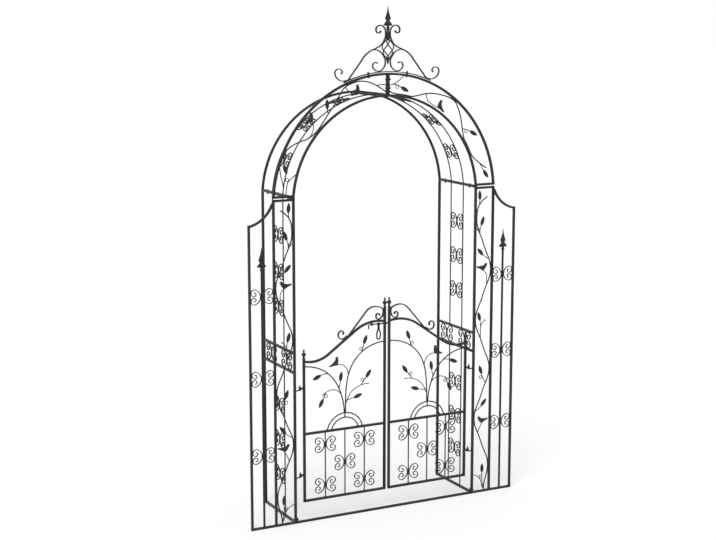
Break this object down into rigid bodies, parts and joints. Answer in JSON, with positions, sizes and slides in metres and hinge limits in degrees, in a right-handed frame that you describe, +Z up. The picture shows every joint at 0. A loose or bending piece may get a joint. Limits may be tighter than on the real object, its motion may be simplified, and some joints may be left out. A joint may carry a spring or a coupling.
{
  "type": "garden arch with gate",
  "caption": "Free-standing wrought garden arch with side panels, wings, vine ornament, crest and a two-leaf swing gate with slide latch.",
  "frame": {"origin": "middle of the threshold bar's underside, in the plane of the closed gate", "axes": "+Z up, +Y in under the arch from the gate side, +X to the right seen from the front"},
  "size_m": [1.614, 0.4295, 2.7228],
  "materials": {
    "coated_bar": "satin dark brown-black coating",
    "coated_wire": "satin dark brown-black coating",
    "casting": "coated casting, slightly rough",
    "fastener": "dark coated bolt"
  },
  "bodies": {
    "arch": {"left_side_frame": "coated_bar", "left_side_rods": "coated_wire", "left_side_scrolls": "coated_wire", "left_front_frame": "coated_bar", "left_front_vine": "coated_wire", "left_wing_frame": "coated_bar", "left_wing_spear": "casting", "left_wing_scrolls": "coated_wire", "left_arch_inner_arc": "coated_bar", "left_arch_outer_arc": "coated_bar", "left_arch_back_arc": "coated_bar", "left_arch_end_bars": "coated_bar", "left_roof_rods": "coated_wire", "left_roof_scrolls": "coated_wire", "left_arch_vine": "coated_wire", "left_hinge_pins": "coated_wire", "right_side_frame": "coated_bar", "right_side_rods": "coated_wire", "right_side_scrolls": "coated_wire", "right_front_frame": "coated_bar", "right_front_vine": "coated_wire", "right_wing_frame": "coated_bar", "right_wing_spear": "casting", "right_wing_scrolls": "coated_wire", "right_arch_inner_arc": "coated_bar", "right_arch_outer_arc": "coated_bar", "right_arch_back_arc": "coated_bar", "right_arch_end_bars": "coated_bar", "right_roof_rods": "coated_wire", "right_roof_scrolls": "coated_wire", "right_arch_vine": "coated_wire", "right_hinge_pins": "coated_wire", "crest_strip": "coated_bar", "crest_scrolls": "coated_wire", "crest_basket": "coated_wire", "crest_spear": "casting", "crest_bolts": "fastener", "arch_bolts": "fastener", "threshold_bar": "coated_bar", "threshold_bolts": "fastener"},
    "gate_left": {"left_gate_frame": "coated_bar", "left_gate_top_rail": "coated_bar", "left_gate_top_scroll": "coated_wire", "left_gate_rods": "coated_wire", "left_gate_scrolls": "coated_wire", "left_gate_vine": "coated_wire", "left_gate_finials": "casting", "latch_guides": "coated_bar"},
    "gate_right": {"right_gate_frame": "coated_bar", "right_gate_top_rail": "coated_bar", "right_gate_top_scroll": "coated_wire", "right_gate_rods": "coated_wire", "right_gate_scrolls": "coated_wire", "right_gate_vine": "coated_wire", "right_gate_finials": "casting"},
    "latch_bolt": {"latch_bolt": "coated_wire", "latch_handle": "casting"}
  },
  "joints": [
    {"name": "gate_left_hinge", "type": "hinge", "parent": "arch", "child": "gate_left", "pos_m": [-0.52, 0, 0.5], "axis": [0, 0, 1], "range_deg": [-130, 90]},
    {"name": "gate_right_hinge", "type": "hinge", "parent": "arch", "child": "gate_right", "pos_m": [0.52, 0, 0.5], "axis": [0, 0, -1], "range_deg": [-130, 90]},
    {"name": "latch_slide", "type": "slide", "parent": "gate_left", "child": "latch_bolt", "axis": [1, 0, 0], "range_m": [-0.012, 0.006]}
  ]
}
